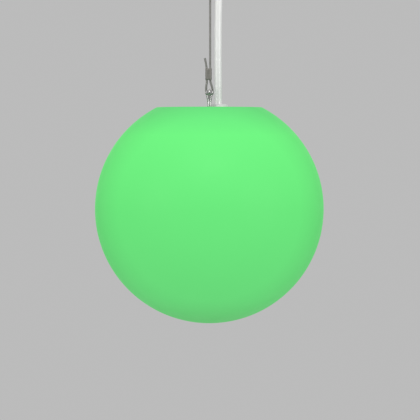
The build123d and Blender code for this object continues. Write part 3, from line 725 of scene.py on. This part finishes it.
turned_over = (
    Matrix.Translation((0, 0, MIDDLE_Z)) @ Matrix.Scale(-1, 4, (0, 0, 1))
    @ Matrix.Translation((0, 0, -MIDDLE_Z))
)
for where, place in (("lower", Matrix.Identity(4)), ("upper", turned_over)):
    body = where + "_shackle_set"
    finished(
        where + "_bow", put(bow(), place), polished, "polished_steel", body, where + "_shackle"
    )
    finished(
        where + "_screw_pin", put(screw_pin(), place), polished, "polished_steel", body,
        where + "_shackle_pin",
    )

# ---- Globe
# One moulded shell of translucent plastic, lit green from inside. Its top is cut flat, round a
# well with a ledge at its foot, which the cap stands on. The glow follows the height and fades a
# little towards the outline.

GLOBE_RADIUS = 0.125
GLOBE_MIDDLE_Z = -0.36709
FLAT_Z = -0.256
FLAT_RADIUS = 0.0573
WELL_RADIUS = 0.045
WELL_DEPTH = 0.0215
NECK_RADIUS = 0.034
GLOBE_WALL = 0.0035
FLAT_EDGE = 0.0006
RIM_TURN = 0.3  # radians, less than the flat's rims turn by
GLOBE_GREEN = (0.045, 0.24, 0.065)
GLOW_HEIGHTS = [  # a height in metres, and the colour of the glow there
    (-0.492, (0.10, 0.45, 0.13)),
    (-0.467, (0.10, 0.51, 0.14)),
    (-0.370, (0.10, 0.58, 0.14)),
    (-0.287, (0.12, 0.71, 0.165)),
    (-0.258, (0.11, 0.60, 0.165)),
]
LIMB_GLOW = 0.82  # the share of the glow where the surface turns away from the eye
LIMB_START, LIMB_END = 0.4, 0.75  # how far it turns away, from 0 to 1, while the glow fades
CAST_GLOW = 0.4  # the share that reaches other pieces, so that white and steel stay neutral


def sunk(shape, faces, depth):
    """Pushes a face down by a depth, with walls round it."""
    grown = bmesh.ops.extrude_face_region(shape, geom=faces)["geom"]
    bmesh.ops.translate(shape, verts=only(bmesh.types.BMVert, grown), vec=(0, 0, -depth))
    bmesh.ops.delete(shape, geom=faces, context="FACES_ONLY")
    return only(bmesh.types.BMFace, grown)


def inset(shape, faces, width):
    """Leaves a rim of a width round a face."""
    bmesh.ops.inset_region(shape, faces=faces, thickness=width, use_even_offset=True)


shell = bmesh.new()
bmesh.ops.create_uvsphere(
    shell,
    u_segments=144,
    v_segments=108,
    radius=GLOBE_RADIUS,
    matrix=Matrix.Translation((0, 0, GLOBE_MIDDLE_Z)),
)
cut_off(shell, (0, 0, FLAT_Z), (0, 0, 1))
brim = [e for e in shell.edges if e.is_boundary]
flat = bmesh.ops.edgeloop_fill(shell, edges=brim)["faces"]
inset(shell, flat, FLAT_RADIUS - WELL_RADIUS)
ledge = sunk(shell, flat, WELL_DEPTH)
inset(shell, ledge, WELL_RADIUS - NECK_RADIUS)
bmesh.ops.delete(shell, geom=ledge, context="FACES_ONLY")
rims = [
    e for e in shell.edges
    if len(e.link_faces) == 2
    and all(abs(v.co.z - FLAT_Z) < 1e-5 for v in e.verts)
    and e.calc_face_angle(0) > RIM_TURN
]
round_off(shell, rims, FLAT_EDGE, segments=4)
bmesh.ops.recalc_face_normals(shell, faces=shell.faces)
bmesh.ops.solidify(shell, geom=shell.faces[:], thickness=GLOBE_WALL)

glow_plastic = new_finish("glowing_plastic", GLOBE_GREEN, 0.5)
surface_of(glow_plastic).inputs["Specular IOR Level"].default_value = 0.1
nodes, links = glow_plastic.node_tree.nodes, glow_plastic.node_tree.links
own_axes = nodes.new("ShaderNodeTexCoord").outputs["Object"]
split = nodes.new("ShaderNodeSeparateXYZ")
links.new(own_axes, split.inputs["Vector"])
bottom, top = GLOW_HEIGHTS[0][0], GLOW_HEIGHTS[-1][0]
tint(
    glow_plastic,
    spread(glow_plastic, split.outputs["Z"], bottom, top, 0, 1),
    *[((height - bottom) / (top - bottom), colour) for height, colour in GLOW_HEIGHTS],
    socket="Emission Color",
)

turning_away = nodes.new("ShaderNodeLayerWeight").outputs["Facing"]
seen = nodes.new("ShaderNodeLightPath").outputs["Is Camera Ray"]
glow = nodes.new("ShaderNodeMath")
glow.operation = "MULTIPLY"
limb = spread(glow_plastic, turning_away, LIMB_START, LIMB_END, 1, LIMB_GLOW)
cast = spread(glow_plastic, seen, 0, 1, CAST_GLOW, 1)
links.new(limb, glow.inputs[0])
links.new(cast, glow.inputs[1])
links.new(glow.outputs[0], surface_of(glow_plastic).inputs["Emission Strength"])
wear(glow_plastic, grain(glow_plastic, 0.02), 0.44, 0.56)
relief(glow_plastic, grain(glow_plastic, 0.0012), 0.00002)

finished("globe_ball", shell, glow_plastic, "globe_plastic", "globe_set", "globe_shell")

# ---- Cap
# A thick moulded disc that closes the globe, white with a fine spark texture. Four socket screws
# hold it down on a rubber gasket, into brass inserts in the ledge.

cap_plastic = new_finish("cap_plastic", (0.78, 0.80, 0.78), 0.5)
spark = grain(cap_plastic, 0.0006)
tint(cap_plastic, grain(cap_plastic, 0.01), (0.3, (0.75, 0.77, 0.75)), (0.7, (0.80, 0.82, 0.80)))
wear(cap_plastic, spark, 0.45, 0.6)
relief(cap_plastic, spark, 0.00004)
dress(cap_plastic, "cap_plate")

brass = new_finish("brass", (0.60, 0.42, 0.17), 0.3, 1.0)
tarnish = grain(brass, 0.002)
tint(brass, tarnish, (0.3, (0.50, 0.33, 0.12)), (0.7, (0.66, 0.48, 0.21)))
wear(brass, tarnish, 0.22, 0.42)
dress(
    brass, "rim_inserts", "canopy_terminal_screws", "globe_terminal_screws", "lampholder_shell",
    "lampholder_contact",
)

# ---- Terminal blocks and cores
# Screw terminals in off-white plastic join the cable's three cores to the supply and to the lamp.
# The cores are copper in coloured insulation, and the earth is green with yellow stripes.

STRIPE_SCALE = 90


def waves(finish, direction, scale):
    """Even waves that follow each other in a direction of the piece's own axes."""
    nodes, links = finish.node_tree.nodes, finish.node_tree.links
    own_axes = nodes.new("ShaderNodeTexCoord").outputs["Object"]
    wave = nodes.new("ShaderNodeTexWave")
    wave.bands_direction = direction
    wave.inputs["Scale"].default_value = scale
    links.new(own_axes, wave.inputs["Vector"])
    return wave.outputs["Fac"]


terminal_plastic = new_finish("terminal_plastic", (0.74, 0.72, 0.62), 0.45)
haze = grain(terminal_plastic, 0.003)
tint(terminal_plastic, haze, (0.3, (0.70, 0.68, 0.58)), (0.7, (0.77, 0.75, 0.66)))
relief(terminal_plastic, haze, 0.00003)
dress(terminal_plastic, "canopy_terminal_block", "globe_terminal_block")

for core, dark, light, names in (
    ("brown", (0.10, 0.035, 0.012), (0.14, 0.05, 0.018),
     ("canopy_live_core", "globe_live_core", "lampholder_live_lead")),
    ("blue", (0.012, 0.06, 0.32), (0.02, 0.085, 0.40),
     ("canopy_neutral_core", "globe_neutral_core", "lampholder_neutral_lead")),
):
    insulation = new_finish(core + "_insulation", light, 0.35)
    streaks = grain(insulation, 0.0015)
    tint(insulation, streaks, (0.35, dark), (0.65, light))
    wear(insulation, streaks, 0.3, 0.42)
    dress(insulation, *names)

earth = new_finish("earth_insulation", (0.10, 0.35, 0.03), 0.35)
stripes = waves(earth, "DIAGONAL", STRIPE_SCALE)
tint(earth, stripes, (0.45, (0.06, 0.28, 0.03)), (0.55, (0.72, 0.62, 0.03)))
dress(earth, "canopy_earth_core", "globe_earth_core")

# ---- Lampholder and bulb
# A glazed ceramic holder on the bracket takes a screw-in LED bulb. The bulb has a nickel plated
# cap, a white housing with its driver inside, and a ring of LEDs behind an opal cover.

SCREW_CAP_SCALE = 90
SCREW_CAP_RELIEF = 0.0008
LAMP_GREEN = (0.17, 0.93, 0.23)

ceramic = new_finish("glazed_ceramic", (0.80, 0.78, 0.73), 0.15)
glaze = grain(ceramic, 0.008)
tint(ceramic, glaze, (0.3, (0.76, 0.74, 0.69)), (0.7, (0.82, 0.80, 0.76)))
relief(ceramic, glaze, 0.00005)
dress(ceramic, "lampholder_body")

nickel = new_finish("nickel_plate", (0.60, 0.58, 0.54), 0.2, 1.0)
relief(nickel, waves(nickel, "Z", SCREW_CAP_SCALE), SCREW_CAP_RELIEF)
wear(nickel, grain(nickel, 0.002), 0.14, 0.3)
dress(nickel, "bulb_screw_cap", "bulb_tip")

for name, low, high, roughness, size, names in (
    ("black_glass", (0.008, 0.008, 0.008), (0.016, 0.016, 0.016), 0.12, 0.003, ["bulb_insulator"]),
    ("bulb_plastic", (0.76, 0.76, 0.75), (0.82, 0.82, 0.81), 0.4, 0.005, ["bulb_housing"]),
    ("white_board", (0.78, 0.79, 0.78), (0.84, 0.85, 0.84), 0.45, 0.002, ["bulb_led_board"]),
    ("green_board", (0.008, 0.07, 0.025), (0.015, 0.11, 0.04), 0.4, 0.002, ["bulb_driver_board"]),
):
    plain = new_finish(name, high, roughness)
    cloud = grain(plain, size)
    tint(plain, cloud, (0.35, low), (0.65, high))
    relief(plain, cloud, 0.00002)
    dress(plain, *names)

for name, strength, names in (
    ("lit_led", 3.0, ["bulb_leds"]),
    ("opal_cover", 1.0, ["bulb_diffuser"]),
):
    lit = new_finish(name, (0.45, 0.85, 0.50), 0.4)
    cloud = grain(lit, 0.004)
    tint(lit, cloud, (0.3, (0.42, 0.82, 0.47)), (0.7, (0.48, 0.88, 0.53)))
    surface_of(lit).inputs["Emission Color"].default_value = (*LAMP_GREEN, 1)
    surface_of(lit).inputs["Emission Strength"].default_value = strength
    dress(lit, *names)

# ---- Floor, backdrop and lamps
# A plain pale floor well below the globe, and an even pale world round it. Three soft boxes light
# it from the front: one from above, and one from each side.

FLOOR_Z = -0.95
FLOOR_REACH = 8.0
EVEN_LIGHT = 0.36  # what the world gives to the object
BACKDROP = 0.5  # what the camera, metal and glass see of it
LAMP_AIM = Vector((0, 0, -0.25))

floor_mesh = bpy.data.meshes.new("floor")
floor_shape = bmesh.new()
bmesh.ops.create_grid(
    floor_shape, x_segments=1, y_segments=1, size=FLOOR_REACH,
    matrix=Matrix.Translation((0, 0, FLOOR_Z)),
)
floor_shape.to_mesh(floor_mesh)
floor_shape.free()
floor = bpy.data.objects.new("floor", floor_mesh)
scene.collection.objects.link(floor)
floor_mesh.materials.append(new_finish("pale_floor", (0.86, 0.86, 0.86), 0.9))

world = bpy.data.worlds.new("studio")
scene.world = world
world.use_nodes = True
nodes, links = world.node_tree.nodes, world.node_tree.links
even_light = nodes["Background"]
backdrop = nodes.new("ShaderNodeBackground")
for background, strength in ((even_light, EVEN_LIGHT), (backdrop, BACKDROP)):
    background.inputs["Color"].default_value = (1, 1, 1, 1)
    background.inputs["Strength"].default_value = strength
ray = nodes.new("ShaderNodeLightPath")
seen = nodes.new("ShaderNodeMath")
seen.operation = "ADD"
seen_too = nodes.new("ShaderNodeMath")
seen_too.operation = "ADD"
seen_too.use_clamp = True
choice = nodes.new("ShaderNodeMixShader")
links.new(ray.outputs["Is Camera Ray"], seen.inputs[0])
links.new(ray.outputs["Is Glossy Ray"], seen.inputs[1])
links.new(seen.outputs[0], seen_too.inputs[0])
links.new(ray.outputs["Is Transmission Ray"], seen_too.inputs[1])
links.new(seen_too.outputs[0], choice.inputs["Fac"])
links.new(even_light.outputs[0], choice.inputs[1])
links.new(backdrop.outputs[0], choice.inputs[2])
links.new(choice.outputs[0], nodes["World Output"].inputs["Surface"])

for name, place, size, energy in (
    ("high_box", (0, -1.7, 1.3), 1.0, 17.0),
    ("left_box", (-1.5, -1.1, -0.1), 0.8, 8.5),
    ("right_box", (1.5, -1.1, -0.1), 0.8, 10.0),
):
    lamp = bpy.data.lights.new(name, "AREA")
    lamp.size = size
    lamp.energy = energy
    box = bpy.data.objects.new(name, lamp)
    box.location = place
    aim = LAMP_AIM - Vector(place)
    box.rotation_euler = aim.to_track_quat("-Z", "Y").to_euler()
    scene.collection.objects.link(box)

# ---- Camera
# It stands level and far away, straight in front of the light, with the globe a little above the
# middle of its view.

CAMERA_DISTANCE = 9
VIEW_WIDTH = 0.4592  # what the picture spans at the globe
VIEW_MIDDLE_X = 0.00075
VIEW_MIDDLE_Z = -0.3683
SENSOR_WIDTH = 36

camera = bpy.data.cameras.new("camera")
camera.sensor_width = SENSOR_WIDTH
camera.lens = SENSOR_WIDTH * CAMERA_DISTANCE / VIEW_WIDTH
camera.clip_end = 100
view = bpy.data.objects.new("camera", camera)
view.location = (VIEW_MIDDLE_X, -CAMERA_DISTANCE, VIEW_MIDDLE_Z)
view.rotation_euler = (math.pi / 2, 0, 0)
scene.collection.objects.link(view)
scene.camera = view

scene.view_settings.view_transform = "Standard"
